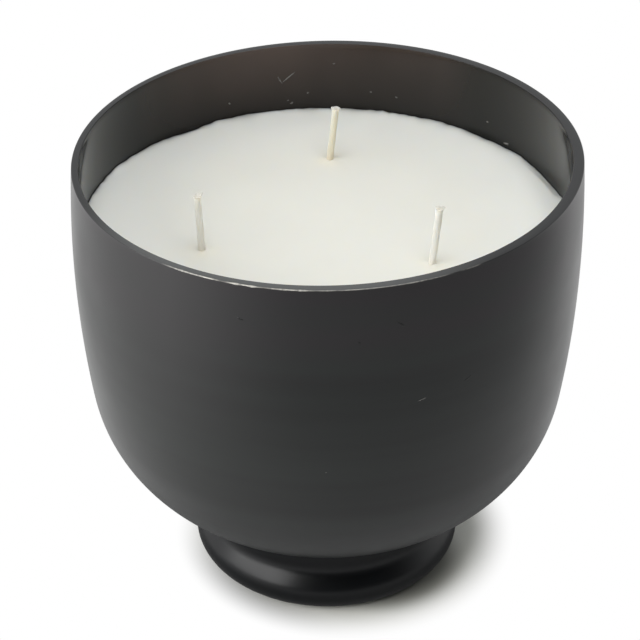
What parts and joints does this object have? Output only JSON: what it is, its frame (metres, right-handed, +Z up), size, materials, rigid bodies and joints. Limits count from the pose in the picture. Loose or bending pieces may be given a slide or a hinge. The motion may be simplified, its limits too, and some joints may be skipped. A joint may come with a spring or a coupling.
{
  "type": "glass container candle",
  "caption": "Footed bowl of dark satin glass with a flat ground rim, filled with ivory wax in which slightly leaning cotton wicks stand well below the rim.",
  "frame": {"origin": "middle of the face that the foot stands on, on the bowl's axis", "axes": "+Z up along the bowl's axis, -Y towards the front, +X to the right as seen from the front"},
  "size_m": [0.1624, 0.1624, 0.1504],
  "materials": {
    "bowl_glass": "opaque smoked black, satin outside and glossy inside",
    "foot_glass": "opaque black, semi-gloss",
    "wax": "smooth ivory wax, soft sheen",
    "wick_cotton": "braided cotton, waxed",
    "tab_steel": "tinned sheet steel",
    "glue": "hot-melt glue"
  },
  "bodies": {
    "root": {"glass_bowl": "bowl_glass", "glass_foot": "foot_glass", "wax_fill": "wax", "wick_left": "wick_cotton", "wick_back": "wick_cotton", "wick_right": "wick_cotton", "tab_left": "tab_steel", "tab_back": "tab_steel", "tab_right": "tab_steel", "glue_left": "glue", "glue_back": "glue", "glue_right": "glue"}
  },
  "joints": []
}
